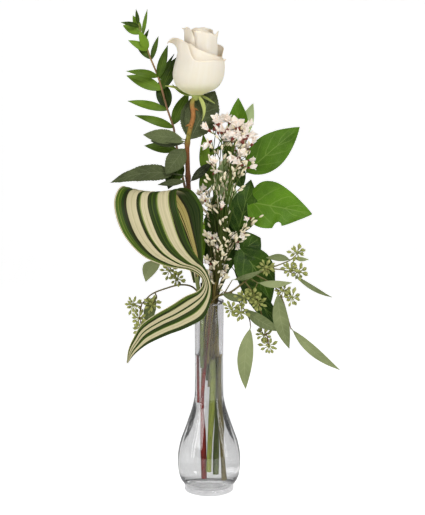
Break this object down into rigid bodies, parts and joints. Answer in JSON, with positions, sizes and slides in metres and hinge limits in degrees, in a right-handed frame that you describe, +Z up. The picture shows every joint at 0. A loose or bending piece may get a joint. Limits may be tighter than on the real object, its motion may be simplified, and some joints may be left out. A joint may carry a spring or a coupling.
{
  "type": "rose in a bud vase",
  "caption": "White rose with mixed foliage, broom sprays and a looped striped leaf, standing in a clear fluted bud vase with water.",
  "frame": {"origin": "centre of the vase's flat underside, on the surface it stands on", "axes": "+Z up along the vase's axis; -Y is the front, where the striped leaf hangs; +X is the right seen from the front"},
  "size_m": [0.235, 0.099, 0.5031],
  "materials": {
    "clear_glass": "gloss",
    "water": "gloss",
    "rose_green": "satin",
    "white_petal": "matte",
    "ruscus_green": "satin",
    "salal_green": "satin",
    "striped_green_cream": "satin",
    "eucalyptus_green": "matte",
    "broom_white": "matte"
  },
  "bodies": {
    "root": {"vase": "clear_glass", "water": "water", "rose_stem": "rose_green", "rose_bloom": "white_petal", "ruscus_tall": "ruscus_green", "ruscus_back": "ruscus_green", "salal": "salal_green", "striped_leaf": "striped_green_cream", "eucalyptus_right": "eucalyptus_green", "eucalyptus_left": "eucalyptus_green", "broom_front": "broom_white", "broom_back": "broom_white"}
  },
  "joints": []
}
